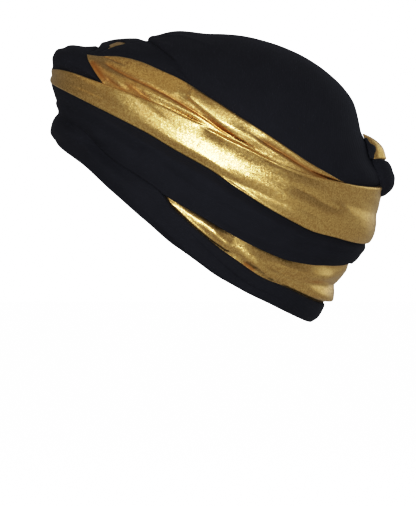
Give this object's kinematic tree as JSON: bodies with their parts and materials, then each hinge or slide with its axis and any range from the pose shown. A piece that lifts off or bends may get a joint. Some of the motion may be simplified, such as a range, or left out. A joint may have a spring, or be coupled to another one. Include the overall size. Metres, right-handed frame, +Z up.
{
  "type": "turban",
  "caption": "Pre-wrapped stretch turban in its worn form, with crossed black and gold foil wraps, a front twist, pleated sides and a small knot at the back.",
  "frame": {"origin": "the head seat: the top of the hollow, on the inside of the crown, where the wearer's head meets it", "axes": "+Z up, -Y towards the wearer's front, +X towards the wearer's left"},
  "size_m": [0.1634, 0.2183, 0.1833],
  "materials": {
    "black_jersey": "matte stretch jersey",
    "gold_foil_jersey": "stretch jersey with a gold foil print, finely crinkled and shiny"
  },
  "bodies": {
    "root": {"crown": "black_jersey", "hem_band": "black_jersey", "lower_gold_band": "gold_foil_jersey", "side_black_left": "black_jersey", "side_black_right": "black_jersey", "main_gold_left": "gold_foil_jersey", "main_gold_right": "gold_foil_jersey", "gold_pleats_left": "gold_foil_jersey", "gold_pleats_right": "gold_foil_jersey", "twist_lobe_left": "black_jersey", "twist_lobe_right": "black_jersey", "top_roll_front": "black_jersey", "top_gold_fold": "gold_foil_jersey", "top_roll_back": "black_jersey", "knot_black_roll": "black_jersey", "knot_gold_loop": "gold_foil_jersey", "knot_tuck": "black_jersey"}
  },
  "joints": []
}
